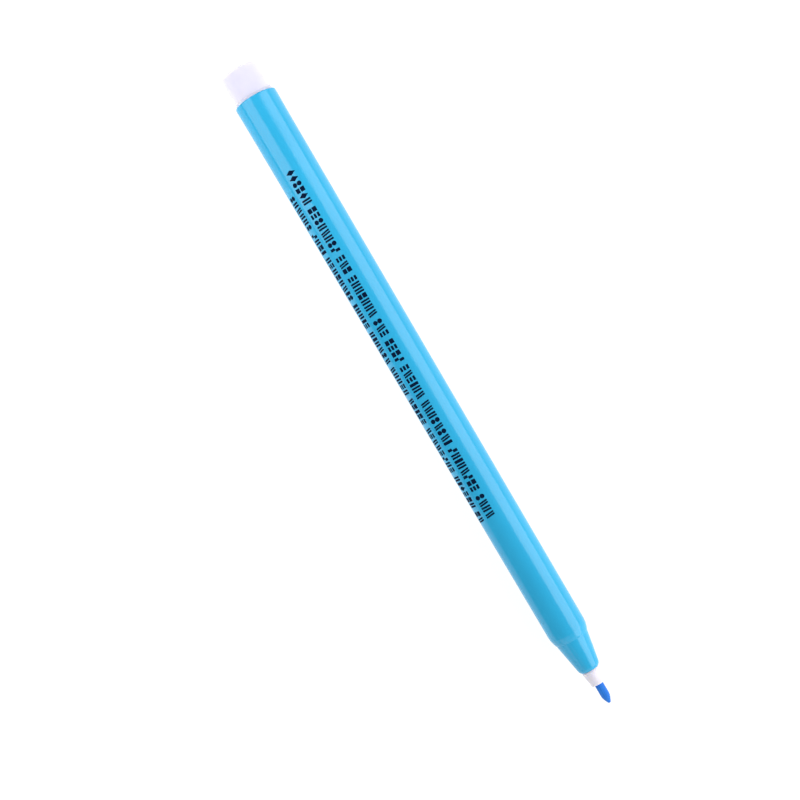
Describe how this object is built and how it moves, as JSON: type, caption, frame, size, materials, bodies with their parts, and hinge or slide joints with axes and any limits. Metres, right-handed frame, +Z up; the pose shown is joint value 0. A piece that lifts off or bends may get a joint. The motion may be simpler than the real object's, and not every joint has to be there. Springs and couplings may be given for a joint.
{
  "type": "fabric marking pen",
  "caption": "Slim fibre-tip fabric marking pen with a tapered round barrel, nose cone, white nib holder, blue bullet nib and white end plug, cap off.",
  "frame": {"origin": "midway along the pen, on the surface that it lies on", "axes": "+X along the pen's axis towards the nib, +Z up, Y across the pen"},
  "size_m": [0.14, 0.0086, 0.0086],
  "materials": {
    "barrel": "glossy sky-blue moulded plastic",
    "plug": "satin white moulded plastic",
    "holder": "satin white moulded plastic",
    "nib": "ground fibre rod, inked blue",
    "inked_fibre": "bundled fibre soaked with ink",
    "film": "thin clear film"
  },
  "bodies": {
    "root": {"barrel": "barrel", "end_plug": "plug", "nib_holder": "holder", "nib": "nib", "ink_reservoir": "inked_fibre", "reservoir_wrap": "film"}
  },
  "joints": []
}
